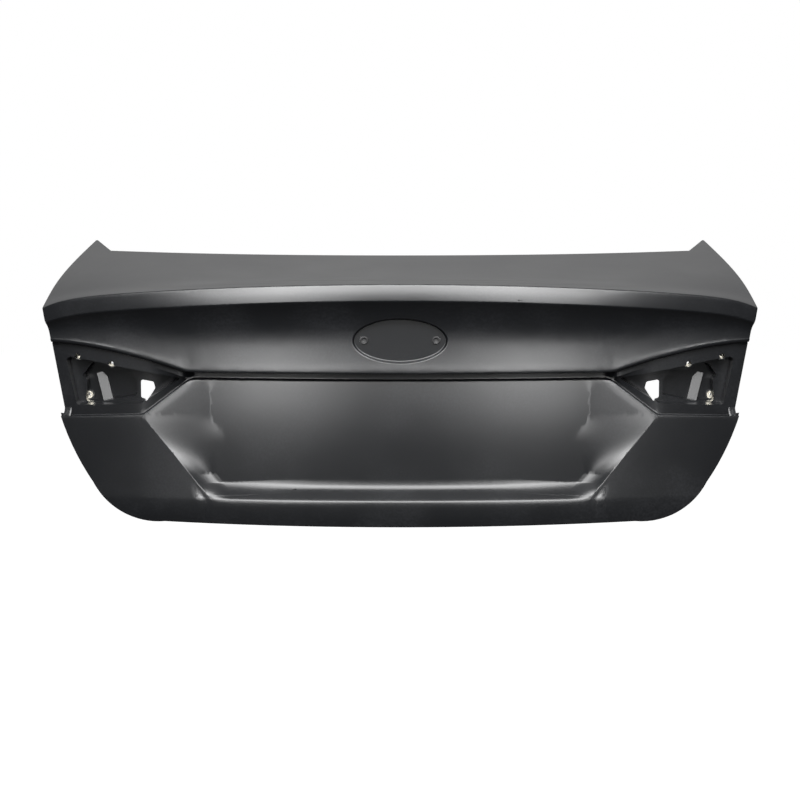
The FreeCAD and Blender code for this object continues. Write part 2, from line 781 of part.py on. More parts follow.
innerShapes = bothPrisms(deckOpening, "Z", -100, 120, 25)
innerShapes += bothPrisms(wallOpening, "Y", 60, 260, 22)
innerShapes += bothPrisms(dishOpening, "Y", 60, 260, 30)
innerShapes += bothPrisms(lampAccess, "Y", 60, 320, 14)
innerHoles = [Part.makeCylinder(size("hingeHoleDia") / 2, 100, at - Vector(0, 0, 50))
              for pair in hingePlaces() for at in pair]
innerHoles += [alongY(size("latchHoleDia"), 200, at) for at in latchPlaces()]
innerSkin = innerNet()


def rectangle(width, length, a=0, b=0):
    return [(a - width / 2, b - length / 2), (a + width / 2, b - length / 2),
            (a + width / 2, b + length / 2), (a - width / 2, b + length / 2)]


def pressedPad(panel, outline, mouth, floor, down):
    """Panel with a flat-floored pad pressed out of its own skin, forward or down."""
    reach, rounding = size("padDraft"), size("padRounding")
    under = floor + math.copysign(gauge, floor - mouth)
    shell = drafted(insetOutline(outline, -gauge), mouth, under, reach, rounding + gauge)
    hollow = drafted(outline, mouth, floor, reach, rounding)
    push = Vector(0, 60, 0)
    if down:
        push = Vector(0, 0, -60)
        for solid in (shell, hollow):
            solid.rotate(Vector(), Vector(1, 0, 0), 90)
    box = shell.BoundBox
    around = Part.makeBox(box.XLength + 20, box.YLength + 20, box.ZLength + 20,
                          Vector(box.XMin - 10, box.YMin - 10, box.ZMin - 10))
    skinUnder = skin(innerSkin).toShape().common(around)
    wall = skinUnder.extrude(push).common(shell).cut(hollow)
    return panel.cut(shell).fuse(wall)


innerPanel = layer(innerSkin, 0, gauge).cut(innerShapes)
hingePadFloor = -size("hingePadDrop")
for side in (-1, 1):
    outline = rectangle(size("hingePadWidth"), size("hingePadLength"),
                        side * size("hingeSpan") / 2, -size("crestBehindHinges"))
    innerPanel = pressedPad(innerPanel, outline, 30, hingePadFloor, True)
latchPadFloor = size("rearPan") + size("latchPadRise")
outline = rectangle(size("latchPadWidth"), size("latchPadHeight"), 0, -size("latchDrop"))
innerPanel = pressedPad(innerPanel, outline, size("rearPan") - 30, latchPadFloor, False)
innerPanel = innerPanel.cut(innerHoles)

# Reinforcement plates and nuts, on the cavity side of the pads

def plateBody(name, width, length, holeDia, pitch, along):
    """Plate with rounded corners and a pair of holes along its X or Y."""
    body = doc.addObject("PartDesign::Body", name)
    plate = body.newObject("PartDesign::AdditiveBox", name + "Sheet")
    for key, text in (("Length", width), ("Width", length), ("Height", "Sizes.plateGauge"),
                      (".Placement.Base.x", "-(%s) / 2" % width), (".Placement.Base.y", "-(%s) / 2" % length)):
        plate.setExpression(key, text)
    doc.recompute()
    rounded = body.newObject("PartDesign::Fillet", name + "Corners")
    rounded.Base = (plate, ["Edge1", "Edge3", "Edge5", "Edge7"])
    rounded.setExpression("Radius", "Sizes.padRounding - Sizes.padDraft / 2")
    doc.recompute()
    for side in (-1, 1):
        hole = body.newObject("PartDesign::SubtractiveCylinder", "%sHole%d" % (name, side + 2))
        hole.setExpression("Radius", "(%s) / 2 + Sizes.plateHoleOver / 2" % holeDia)
        hole.setExpression("Height", "Sizes.plateGauge + 2")
        hole.setExpression(".Placement.Base." + along, "%d * %s / 2" % (side, pitch))
        hole.setExpression(".Placement.Base.z", "-1")
        doc.recompute()
    return body


hingePlate = plateBody("hingePlate", "Sizes.hingePadWidth - 2 * Sizes.plateMargin",
                       "Sizes.hingePadLength - 2 * Sizes.plateMargin",
                       "Sizes.hingeHoleDia", "Sizes.hingeBoltPitch", "y")
latchPlate = plateBody("latchPlate", "Sizes.latchPadWidth - 2 * Sizes.plateMargin",
                       "Sizes.latchPadHeight - 2 * Sizes.plateMargin",
                       "Sizes.latchHoleDia", "Sizes.latchPitch", "x")


# Nuts and plugs, each drawn once and copied to its places

def turnedBody(name, parts):
    """Body of stacked round or six-sided solids; a minus sign marks a bored one."""
    body = doc.addObject("PartDesign::Body", name)
    for number, (kind, width, start, length) in enumerate(parts):
        feature = body.newObject("PartDesign::" + kind, "%s%d" % (name, number))
        if kind.endswith("Prism"):
            feature.Polygon = 6
            feature.setExpression("Circumradius", "(%s) / 1.732" % width)
        else:
            feature.setExpression("Radius", "(%s) / 2" % width)
        feature.setExpression("Height", length)
        feature.setExpression(".Placement.Base.z", start)
        doc.recompute()
    return body


weldNut = turnedBody("hingeNut", [
    ("AdditivePrism", "Sizes.hingeNutWidth", "0", "Sizes.hingeNutHeight"),
    ("SubtractiveCylinder", "Sizes.hingeThreadDia", "-1", "Sizes.hingeNutHeight + 2")])
latchNut = turnedBody("latchNut", [
    ("AdditivePrism", "Sizes.latchNutWidth", "0", "Sizes.latchNutHeight"),
    ("SubtractiveCylinder", "Sizes.latchThreadDia", "-1", "Sizes.latchNutHeight + 2")])
lampNut = turnedBody("lampNut", [
    ("AdditiveCylinder", "Sizes.lampNutFlange", "-Sizes.lampNutRim", "Sizes.lampNutRim"),
    ("AdditiveCylinder", "Sizes.lampNutBarrel", "0", "Sizes.lampNutLength"),
    ("SubtractiveCylinder", "Sizes.lampThreadDia", "-Sizes.lampNutRim - 1", "Sizes.lampNutLength + 5")])
badgePlug = turnedBody("badgePlug", [
    ("AdditiveCylinder", "Sizes.plugHead", "-0.9", "Sizes.gauge + 1.1"),
    ("AdditiveCylinder", "Sizes.plugBarb", "Sizes.gauge + 0.1", "2"),
    ("SubtractiveCylinder", "Sizes.plugDish", "-1.5", "1.5")])

forward = Rotation(Vector(1, 0, 0), -90)


def copies(body, places, turn=Rotation()):
    shapes = []
    for place in places:
        shape = body.Shape.copy()
        shape.Placement = Placement(place, turn)
        shapes.append(shape)
    return shapes[0] if len(shapes) == 1 else Part.makeCompound(shapes)


def mirrorX(points):
    return [Vector(-p.x, p.y, p.z) for p in points]


def onHingePad(points, over=0):
    return [Vector(at.x, at.y, hingePadFloor + over) for at in points]


def onLatchPad(points, over=0):
    return [Vector(at.x, latchPadFloor - over, at.z) for at in points]


backward = Rotation(Vector(1, 0, 0), 90)
pocket = lampPocket()
seats = lampNutSeats()
badgeSeats = [Vector(side * size("badgeHoleSpacing") / 2, size("badgeDepth"), -size("badgeDrop"))
              for side in (-1, 1)]
upperPanel = badgeRecess(upperPanel)
leftHinge, rightHinge = hingePlaces()
nodes = {
    "upper_outer_panel": upperPanel,
    "lower_outer_panel": lowerPanel,
    "inner_panel": innerPanel,
    "lamp_pocket_left": pocket,
    "lamp_pocket_right": pocket.mirror(Vector(), Vector(1, 0, 0)),
    "lamp_nuts_left": copies(lampNut, seats, forward),
    "lamp_nuts_right": copies(lampNut, mirrorX(seats), forward),
    "hinge_reinforcement_left": copies(hingePlate, onHingePad([sum(leftHinge, Vector()) / 2])),
    "hinge_reinforcement_right": copies(hingePlate, onHingePad([sum(rightHinge, Vector()) / 2])),
    "hinge_nuts_left": copies(weldNut, onHingePad(leftHinge, size("plateGauge"))),
    "hinge_nuts_right": copies(weldNut, onHingePad(rightHinge, size("plateGauge"))),
    "latch_reinforcement": copies(latchPlate, onLatchPad([Vector(0, 0, -size("latchDrop"))]), backward),
    "latch_nuts": copies(latchNut, onLatchPad(latchPlaces(), size("plateGauge")), backward),
    "badge_plug_left": copies(badgePlug, badgeSeats[:1], forward),
    "badge_plug_right": copies(badgePlug, badgeSeats[1:], forward),
}
for name, shape in nodes.items():
    addNode(name, shape)
doc.recompute()

for item in doc.Objects:
    if "Invalid" in item.State or "Error" in item.State:
        raise RuntimeError("%s failed: %s" % (item.Name, item.State))
for name in nodes:
    node = doc.getObject(name)
    if node.Shape.isNull() or not node.Shape.isValid():
        raise RuntimeError("%s has no valid shape" % name)
    print(name, [round(solid.Volume) for solid in node.Shape.Solids], len(node.Shape.Faces))
for name in nodes:
    doc.getObject(name).Shape.exportStep("parts/%s.step" % name)
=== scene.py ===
import json
import math

import bmesh
import bpy
import numpy as np
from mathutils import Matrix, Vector


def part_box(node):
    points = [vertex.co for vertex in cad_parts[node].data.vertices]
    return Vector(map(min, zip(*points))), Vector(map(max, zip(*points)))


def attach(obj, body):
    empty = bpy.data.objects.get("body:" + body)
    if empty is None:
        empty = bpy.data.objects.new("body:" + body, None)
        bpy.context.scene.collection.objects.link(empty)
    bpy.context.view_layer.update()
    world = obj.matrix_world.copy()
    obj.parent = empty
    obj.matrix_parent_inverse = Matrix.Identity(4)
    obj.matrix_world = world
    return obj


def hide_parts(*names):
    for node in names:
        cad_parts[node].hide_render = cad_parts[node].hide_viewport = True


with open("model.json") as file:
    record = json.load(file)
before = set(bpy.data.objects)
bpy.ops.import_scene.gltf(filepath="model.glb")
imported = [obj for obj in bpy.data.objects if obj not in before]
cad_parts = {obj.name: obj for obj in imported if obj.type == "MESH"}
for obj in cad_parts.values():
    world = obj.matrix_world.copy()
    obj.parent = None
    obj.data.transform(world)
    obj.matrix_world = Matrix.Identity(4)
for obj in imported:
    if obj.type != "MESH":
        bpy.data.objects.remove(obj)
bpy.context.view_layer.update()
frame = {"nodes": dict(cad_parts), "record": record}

nodes = frame["nodes"]
mm = 0.001


# Colours and nodes

def srgb(text):  # sRGB hex to linear
    parts = [int(text[i:i + 2], 16) / 255 for i in (0, 2, 4)]
    return [c / 12.92 if c < 0.04045 else ((c + 0.055) / 1.055) ** 2.4 for c in parts] + [1.0]


def add(tree, kind, links=(), **settings):  # one node with its settings and links
    node = tree.nodes.new(kind)
    for key, value in settings.items():
        if hasattr(node, key):
            setattr(node, key, value)
        else:
            node.inputs[key.replace("_", " ")].default_value = value
    for socket, source in links:
        tree.links.new(source, node.inputs[socket])
    return node


def newTree(name):
    material = bpy.data.materials.new(name)
    material.use_nodes = True
    material.node_tree.nodes.clear()
    return material, material.node_tree


def perMetre(millimetres):  # noise scale that repeats about every so many millimetres
    return 1 / (millimetres * mm)


# Materials

# Cathodic dip primer on pressed steel: near black and satin, so it shows soft boxes as soft bands.
# Its real peel is finer than a pixel, so it is drawn at 9 mm, and very low.
primer = {
    "paint": "0B0C0E",
    "dust": "3A3B3E",
    "dustFrom": 0.24,
    "dustTo": 0.5,
    "dustMost": 0.16,
    "ior": 1.5,
    "roughness": 0.32,
    "roughnessSpread": 0.04,
    "peelWidth": 9,
    "peelHeight": 0.006,
    "pressWaveWidth": 160,
    "pressWaveHeight": 0.12,
    "cloudWidth": 120,
    "dustGrain": 4,
}


def dipPrimer(name, look):
    material, tree = newTree(name)
    place = add(tree, "ShaderNodeTexCoord").outputs["Object"]
    clouds = add(tree, "ShaderNodeTexNoise", [("Vector", place)], Scale=perMetre(look["cloudWidth"]),
                 Detail=4)
    grain = add(tree, "ShaderNodeTexNoise", [("Vector", place)], Scale=perMetre(look["dustGrain"]), Detail=6)
    dust = add(tree, "ShaderNodeMath", [(0, clouds.outputs[0]), (1, grain.outputs[0])], operation="MULTIPLY")
    dustAmount = add(tree, "ShaderNodeMapRange", [("Value", dust.outputs[0])], From_Min=look["dustFrom"],
                     From_Max=look["dustTo"], To_Max=look["dustMost"])
    colour = add(tree, "ShaderNodeMix", [("Factor", dustAmount.outputs[0])], data_type="RGBA")
    colour.inputs[6].default_value = srgb(look["paint"])
    colour.inputs[7].default_value = srgb(look["dust"])
    rough = add(tree, "ShaderNodeMapRange", [("Value", clouds.outputs[0])],
                To_Min=look["roughness"] - look["roughnessSpread"],
                To_Max=look["roughness"] + look["roughnessSpread"])
    waves = add(tree, "ShaderNodeTexNoise", [("Vector", place)], Scale=perMetre(look["pressWaveWidth"]),
                Detail=0)
    pressWaves = add(tree, "ShaderNodeBump", [("Height", waves.outputs[0])],
                     Distance=look["pressWaveHeight"] * mm)
    peelNoise = add(tree, "ShaderNodeTexNoise", [("Vector", place)], Scale=perMetre(look["peelWidth"]),
                    Detail=2)
    peel = add(tree, "ShaderNodeBump", [("Height", peelNoise.outputs[0]), ("Normal", pressWaves.outputs[0])],
               Distance=look["peelHeight"] * mm)
    surface = [("Base Color", colour.outputs[2]), ("Roughness", rough.outputs[0]), ("Normal", peel.outputs[0])]
    paint = add(tree, "ShaderNodeBsdfPrincipled", surface, IOR=look["ior"])
    add(tree, "ShaderNodeOutputMaterial", [("Surface", paint.outputs[0])])
    return material


# Zinc plate on weld nuts: bright, a little cloudy, with fine turning marks.
zinc = {
    "plate": "D6D3CB",
    "passivation": "B9B39F",
    "roughness": 0.3,
    "smoother": 0.08,
    "rougher": 0.12,
    "cloudWidth": 3,
    "markWidth": 0.6,
    "markHeight": 0.02,
}


def zincPlate(name, look):
    material, tree = newTree(name)
    place = add(tree, "ShaderNodeTexCoord").outputs["Object"]
    clouds = add(tree, "ShaderNodeTexNoise", [("Vector", place)], Scale=perMetre(look["cloudWidth"]),
                 Detail=5)
    colour = add(tree, "ShaderNodeMix", [("Factor", clouds.outputs[0])], data_type="RGBA")
    colour.inputs[6].default_value = srgb(look["plate"])
    colour.inputs[7].default_value = srgb(look["passivation"])
    rough = add(tree, "ShaderNodeMapRange", [("Value", clouds.outputs[0])],
                To_Min=look["roughness"] - look["smoother"], To_Max=look["roughness"] + look["rougher"])
    marks = add(tree, "ShaderNodeTexNoise", [("Vector", place)], Scale=perMetre(look["markWidth"]), Detail=3)
    bump = add(tree, "ShaderNodeBump", [("Height", marks.outputs[0])], Distance=look["markHeight"] * mm)
    surface = [("Base Color", colour.outputs[2]), ("Roughness", rough.outputs[0]), ("Normal", bump.outputs[0])]
    metal = add(tree, "ShaderNodeBsdfPrincipled", surface, Metallic=1)
    add(tree, "ShaderNodeOutputMaterial", [("Surface", metal.outputs[0])])
    return material


# Moulded EPDM rubber: matt grey black with a fine mould grain.
rubber = {
    "rubber": "131314",
    "bloom": "232324",
    "bloomFrom": 0.4,
    "bloomTo": 0.8,
    "bloomMost": 0.5,
    "ior": 1.52,
    "roughness": 0.62,
    "roughnessSpread": 0.07,
    "bloomWidth": 5,
    "grainWidth": 0.7,
    "grainHeight": 0.03,
}


def mouldedRubber(name, look):
    material, tree = newTree(name)
    place = add(tree, "ShaderNodeTexCoord").outputs["Object"]
    bloom = add(tree, "ShaderNodeTexNoise", [("Vector", place)], Scale=perMetre(look["bloomWidth"]), Detail=4)
    bloomAmount = add(tree, "ShaderNodeMapRange", [("Value", bloom.outputs[0])], From_Min=look["bloomFrom"],
                      From_Max=look["bloomTo"], To_Max=look["bloomMost"])
    colour = add(tree, "ShaderNodeMix", [("Factor", bloomAmount.outputs[0])], data_type="RGBA")
    colour.inputs[6].default_value = srgb(look["rubber"])
    colour.inputs[7].default_value = srgb(look["bloom"])
    rough = add(tree, "ShaderNodeMapRange", [("Value", bloom.outputs[0])],
                To_Min=look["roughness"] - look["roughnessSpread"],
                To_Max=look["roughness"] + look["roughnessSpread"])
    grain = add(tree, "ShaderNodeTexNoise", [("Vector", place)], Scale=perMetre(look["grainWidth"]), Detail=3)
    bump = add(tree, "ShaderNodeBump", [("Height", grain.outputs[0])], Distance=look["grainHeight"] * mm)
    surface = [("Base Color", colour.outputs[2]), ("Roughness", rough.outputs[0]), ("Normal", bump.outputs[0])]
    body = add(tree, "ShaderNodeBsdfPrincipled", surface, IOR=look["ior"])
    add(tree, "ShaderNodeOutputMaterial", [("Surface", body.outputs[0])])
    return material


finishes = {
    "primer": dipPrimer("dipPrimer", primer),
    "zinc": zincPlate("zincPlate", zinc),
    "rubber_plug": mouldedRubber("epdmRubber", rubber),
}
slotOf = {piece["node"]: piece["material_slot"] for piece in frame["record"]["subparts"]}
for name, node in nodes.items():
    node.data.materials.clear()
    node.data.materials.append(finishes[slotOf[name]])
print("materials on", len(nodes), "nodes")


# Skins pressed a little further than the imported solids: the crest band's height, and the round foot and
# corners of the number plate recess. Depths run forward from the crest line and drops down from its middle,
# in millimetres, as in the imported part.

lid = {
    "halfWidth": 670,
    "crestBow": 100,
    "crestCrown": 36,
    "shoulderRoll": 15,
    "shoulderSharpness": 16,
    "crestBehindHinges": 300,
    "crestOverHinges": 9.3,
    "gauge": 0.8,
}
pressing = {
    "weld": 0.002,  # mm, joins the loose triangles' corners
    "rounds": 5,  # of splitting long edges
    "slopeStep": 0.6,  # mm, for the slopes of the new skin
    "skinFacing": 0.15,  # a cut edge's corners face rearwards or forwards by less
    "anyLength": 1e4,  # mm, leaves an edge whole
}


def crestDepth(x):
    return lid["crestBow"] * (x / lid["halfWidth"]) ** 2


def crestFall(x):
    outward = x / lid["halfWidth"]
    return lid["crestCrown"] * outward ** 2 + lid["shoulderRoll"] * abs(outward) ** lid["shoulderSharpness"]


def smooth(low, high, value):
    along = np.clip((value - low) / (high - low), 0, 1)
    return along * along * (3 - 2 * along)


def unrolled(places):  # half-span, drop and depth of points given in metres
    x, y, z = (places / mm).T
    return np.abs(x), lid["crestOverHinges"] - z, y + lid["crestBehindHinges"] - crestDepth(x)


def splitLong(mesh, longest):  # splits edges that are longer than the new form allows at their middle
    for _ in range(pressing["rounds"]):
        mesh.verts.index_update()
        mesh.edges.ensure_lookup_table()
        places = np.array([vert.co for vert in mesh.verts])
        ends = np.array([[vert.index for vert in edge.verts] for edge in mesh.edges])
        first, second = places[ends[:, 0]], places[ends[:, 1]]
        length = np.linalg.norm(first - second, axis=1) / mm
        long = np.nonzero(length > longest(*unrolled((first + second) / 2)))[0]
        if not len(long):
            return
        bmesh.ops.subdivide_edges(mesh, edges=[mesh.edges[i] for i in long], cuts=1)
        bmesh.ops.triangulate(mesh, faces=[face for face in mesh.faces if len(face.verts) > 3])


# A copy of a skin, with both its faces moved to a target depth
def pressed(name, target, weight, longest, hump=None):
    skin = nodes[name].data.copy()
    skin.name = name + "Pressed"
    normals = np.empty(len(skin.loops) * 3, np.float32)
    skin.corner_normals.foreach_get("vector", normals)
    skin.attributes.new("packedNormal", "FLOAT_VECTOR", "CORNER").data.foreach_set("vector", normals)
    mesh = bmesh.new()
    mesh.from_mesh(skin)
    bmesh.ops.remove_doubles(mesh, verts=mesh.verts, dist=pressing["weld"] * mm)
    splitLong(mesh, longest)
    mesh.to_mesh(skin)
    mesh.free()
    places = np.empty(len(skin.vertices) * 3, np.float32)
    skin.vertices.foreach_get("co", places)
    places = places.reshape(-1, 3).astype(float)
    corner = np.empty(len(skin.loops), np.int32)
    skin.loops.foreach_get("vertex_index", corner)
    normals = np.empty(len(skin.loops) * 3, np.float32)
    skin.attributes["packedNormal"].data.foreach_get("vector", normals)
    normals = normals.reshape(-1, 3).astype(float)
    x, drop, depth = unrolled(places)
    step = pressing["slopeStep"]
    slopeX = (target(x + step, drop) - target(x - step, drop)
              + crestDepth(x + step) - crestDepth(x - step)) / (2 * step) * np.sign(places[:, 0])
    slopeZ = (target(x, drop - step) - target(x, drop + step)) / (2 * step)
    stretch = np.sqrt(1 + slopeX ** 2 + slopeZ ** 2)
    facing = np.zeros(len(skin.vertices))  # below 0 on the outer face, above 0 on the inner one
    np.add.at(facing, corner, normals[:, 1])
    newDepth = target(x, drop) + np.where(facing > 0, lid["gauge"] * stretch, 0)
    moved = weight(x, drop, depth)
    places[:, 1] += moved * (newDepth - depth) * mm
    fresh = np.stack([slopeX, -np.ones_like(slopeX), slopeZ], 1) / stretch[:, None]
    fresh = fresh[corner] * np.where(facing[corner] > 0, -1, 1)[:, None]
    onSkin = np.abs(normals[:, 1]) > pressing["skinFacing"]  # a cut edge's corners keep their own normal
    share = np.where(onSkin, moved[corner], 0)[:, None]
    normals = normals * (1 - share) + fresh * share
    if hump:
        rise, slope = hump(x, drop, depth)
        places[:, 2] += rise * mm
        normals[:, 1] -= slope[corner] * normals[:, 2]
    normals /= np.linalg.norm(normals, axis=1)[:, None]
    skin.vertices.foreach_set("co", places.astype(np.float32).ravel())
    skin.attributes.remove(skin.attributes["packedNormal"])
    skin.polygons.foreach_set("use_smooth", [True] * len(skin.polygons))
    skin.normals_split_custom_set(normals.tolist())
    piece = bpy.data.objects.new(skin.name, skin)
    bpy.context.scene.collection.objects.link(piece)
    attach(piece, "root")
    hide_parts(name)
    print(skin.name, len(skin.polygons), "triangles")


# Number plate recess: slanting sides that round into its floor, and a foot that rounds into the ledge
dish = {
    "edgeDepth": 12,
    "lipDepth": 2,
    "lipSweep": 4,  # mm forward at lipHeight below the ledge
    "lipHeight": 50,
    "wingTop": 251,
    "top": 182,
    "ledge": 403,
    "depth": 42,
    "lean": 10,
    "leanForm": 2.9,
    "bend": 367,
    "tipHalfSpan": 393,
    "kneeHalfSpan": 482,
    "kneeDrop": 249,
    "kneeBlend": 50,
    "wallWidth": 127,
    "wallWidthLeast": 34,
    "wallSlant": 0.84,
    "wallCurve": 1.7,
    "wallReach": 1.35,
    "stripHeight": 16,
    "stripShare": 0.68,
    "footHeight": 40,
    "lipRound": 3,
    "endsFrom": 140,  # half-spans between which ledge and foot grow flatter
    "endsTo": 350,
    "ledgeFlatter": 0.62,
    "footFlatter": 0.3,
}
dishBlend = {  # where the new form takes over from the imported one, and its longest edges, in mm
    "lampEdge": (8, 26),
    "underLedge": (7, 13),
    "rim": (-0.5, -0.2),
    "least": 0.01,
    "rimBand": 0.12,
    "overFoot": 6,
    "underFoot": 8,
    "fineEdge": 3.6,
    "edge": 12,
}


def wingDepth(drop):
    along = (drop - dish["wingTop"]) / (dish["ledge"] - dish["wingTop"])
    wing = dish["edgeDepth"] - 1 + (dish["lipDepth"] - dish["edgeDepth"] + 1) * along
    lip = dish["lipDepth"] + dish["lipSweep"] * ((drop - dish["ledge"]) / dish["lipHeight"]) ** 2
    return np.where(drop < dish["ledge"], wing, lip)


def rimDistance(x, drop):  # from the wing's edge inwards, as a share of the side wall's width
    below = np.maximum(drop - dish["kneeDrop"], 0)
    width = np.maximum(dish["wallWidth"] - dish["wallSlant"] * below, dish["wallWidthLeast"])
    return (dish["kneeHalfSpan"] - dish["wallSlant"] * below - x) / width


def dishDepth(x, drop):
    below = smooth(dish["kneeDrop"], dish["kneeDrop"] + dish["kneeBlend"], drop)
    reach, curve = 1 + (dish["wallReach"] - 1) * below, 1 + (dish["wallCurve"] - 1) * below
    recess = 1 - np.clip(1 - rimDistance(x, drop) / reach, 0, 1) ** curve
    recess = np.where(rimDistance(x, drop) < 0, 0, recess)
    down = np.clip((drop - dish["top"]) / (dish["bend"] - dish["top"]), 0, 1)
    floor = dish["depth"] - dish["lean"] * (1 - (1 - down) ** dish["leanForm"])
    over = dish["ledge"] - drop  # height over the ledge's outer edge
    side = smooth(dish["endsFrom"], dish["endsTo"], x)
    stripHeight = dish["stripHeight"] * (1 - dish["ledgeFlatter"] * side)
    footHeight = dish["footHeight"] * (1 - dish["footFlatter"] * side)
    stripShare = dish["stripShare"] * (1 - dish["ledgeFlatter"] * side)
    slope = stripShare / stripHeight
    curved = np.clip((over - stripHeight) / (footHeight - stripHeight), 0, 1)
    bend = slope * (footHeight - stripHeight) / (1 - stripShare)
    rounded = 0.5 * (over + np.sqrt(over ** 2 + dish["lipRound"] ** 2))
    foot = stripShare + (1 - stripShare) * (1 - (1 - curved) ** bend)
    rise = np.where(over < stripHeight, slope * rounded, foot)
    wing = wingDepth(drop)
    return wing + (floor - wing) * recess * np.minimum(rise, 1)


def dishWeight(x, drop, depth):
    lampEdge = dish["top"] + (dish["kneeDrop"] - dish["top"]) * np.clip(
        (x - dish["tipHalfSpan"]) / (dish["kneeHalfSpan"] - dish["tipHalfSpan"]), 0, 1)
    below = smooth(*dishBlend["lampEdge"], drop - lampEdge)
    above = 1 - smooth(*dishBlend["underLedge"], drop - dish["ledge"])
    return below * above * smooth(*dishBlend["rim"], rimDistance(x, drop))


def dishLongest(x, drop, depth):
    inside = dishWeight(x, drop, depth) > dishBlend["least"]
    footTop = dish["ledge"] - dish["footHeight"] - dishBlend["overFoot"]
    atFoot = inside & (drop > footTop) & (drop < dish["ledge"] + dishBlend["underFoot"])
    atRim = inside & (np.abs(rimDistance(x, drop)) < dishBlend["rimBand"])
    coarse = np.where(inside, dishBlend["edge"], pressing["anyLength"])
    return np.where(atFoot | atRim, dishBlend["fineEdge"], coarse)


pressed("lower_outer_panel", dishDepth, dishWeight, dishLongest)

# Crest: a band that leans out to a crease over the undercut, and a low hump in the deck ahead of it
crest = {
    "band": 31,
    "bandLean": 8,
    "bandCurve": 1.5,
    "bandFade": 0.94,
    "bandFadeSpan": (0.5, 0.92),  # shares of the half width
    "crease": 1.6,
    "edgeDepth": 12,
    "undercut": 20,
    "undercutFade": 0.65,
    "hollowSkew": 0.78,
    "hollowForm": 1.1,
    "faceHeight": 167,
    "lampTipHalfSpan": 398,
    "lampTopHalfSpan": 657,
    "lampTopDrop": 116,
    "lampEdgeForm": 1.7,
    "humpHeight": 2.6,
    "humpAhead": 46,
    "humpWidth": 27,
    "humpFadeSpan": (0.35, 0.75),  # shares of the half width
    "humpStart": (0.5, 8),
}
crestBlend = {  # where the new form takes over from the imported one, and its longest edges, in mm
    "begin": (3, 8),
    "end": (38, 59),
    "flange": (15, 20),
    "least": 0.01,
    "creaseBand": 7,
    "creaseDepth": 15,
    "deckDrop": 3,
    "humpDrop": 2.5,
    "deckDepth": (4, 110),
    "deckHalfSpan": 520,
    "fineEdge": 3,
    "edge": 9,
}


def faceProfile(x, drop):
    outward = x / lid["halfWidth"]
    lampWidth = crest["lampTopHalfSpan"] - crest["lampTipHalfSpan"]
    along = np.clip((x - crest["lampTipHalfSpan"]) / lampWidth, 0, 1)
    lampRise = 1 - (1 - along) ** crest["lampEdgeForm"]
    foot = crest["faceHeight"] - (crest["faceHeight"] - crest["lampTopDrop"]) * lampRise
    height = foot - crestFall(x)
    below = drop - crestFall(x)
    lean = crest["bandLean"] * (1 - crest["bandFade"] * smooth(*crest["bandFadeSpan"], outward))
    share = np.clip((below - crest["band"]) / (height - crest["band"]), 0, 1)
    hollow = np.sin(np.pi * share ** crest["hollowSkew"]) ** crest["hollowForm"]
    undercut = crest["undercut"] * hollow * (1 - crest["undercutFade"] * outward ** 2)
    under = -lean + (crest["edgeDepth"] + lean) * share + undercut
    band = -lean * (1 - (1 - np.clip(below / crest["band"], 0, 1)) ** crest["bandCurve"])
    return np.where(below < crest["band"], band, under)


def faceDepth(x, drop):  # the crease is rounded by taking the mean over a few millimetres
    reach = crest["crease"]
    return (faceProfile(x, drop - reach) + 2 * faceProfile(x, drop) + faceProfile(x, drop + reach)) / 4


def faceWeight(x, drop, depth):
    below = drop - crestFall(x)
    onFace = smooth(*crestBlend["begin"], below) * (1 - smooth(*crestBlend["end"], below))
    return onFace * (1 - smooth(*crestBlend["flange"], depth))


def faceLongest(x, drop, depth):
    below = drop - crestFall(x)
    front, back = crestBlend["deckDepth"]
    nearCrease = np.abs(below - crest["band"]) < crestBlend["creaseBand"]
    atCrease = nearCrease & (depth < crestBlend["creaseDepth"])
    onDeck = (below < crestBlend["deckDrop"]) & (depth > front) & (depth < back)
    onDeck = onDeck & (x < crestBlend["deckHalfSpan"])
    inside = (faceWeight(x, drop, depth) > crestBlend["least"]) | onDeck
    return np.where(atCrease, crestBlend["fineEdge"], np.where(inside, crestBlend["edge"], pressing["anyLength"]))


def deckHump(x, drop, depth):
    start, full = crest["humpStart"]
    onDeck = (drop - crestFall(x) < crestBlend["humpDrop"]) & (depth > start)
    outward = smooth(*crest["humpFadeSpan"], x / lid["halfWidth"])
    fade = (1 - outward) * np.where(onDeck, smooth(start, full, depth), 0)
    away = (depth - crest["humpAhead"]) / crest["humpWidth"]
    rise = crest["humpHeight"] * np.exp(-away ** 2) * fade
    return rise, -2 * away / crest["humpWidth"] * rise


pressed("upper_outer_panel", faceDepth, faceWeight, faceLongest, deckHump)


# Plugs in the badge recess: moulded buttons with a rounded rim and a dished middle
plug = {
    "profile": [(0, 1.0), (3.0, 1.1), (4.0, 1.5), (4.5, 2.6), (5.2, 3.3), (6.2, 3.4), (7.1, 2.9),
                (7.7, 1.8), (7.9, 0.3), (7.9, -0.1)],  # radius and height over the recess's floor
    "recessFloor": 33,  # ahead of the crest line
    "sides": 48,
    "weld": 0.01,
}


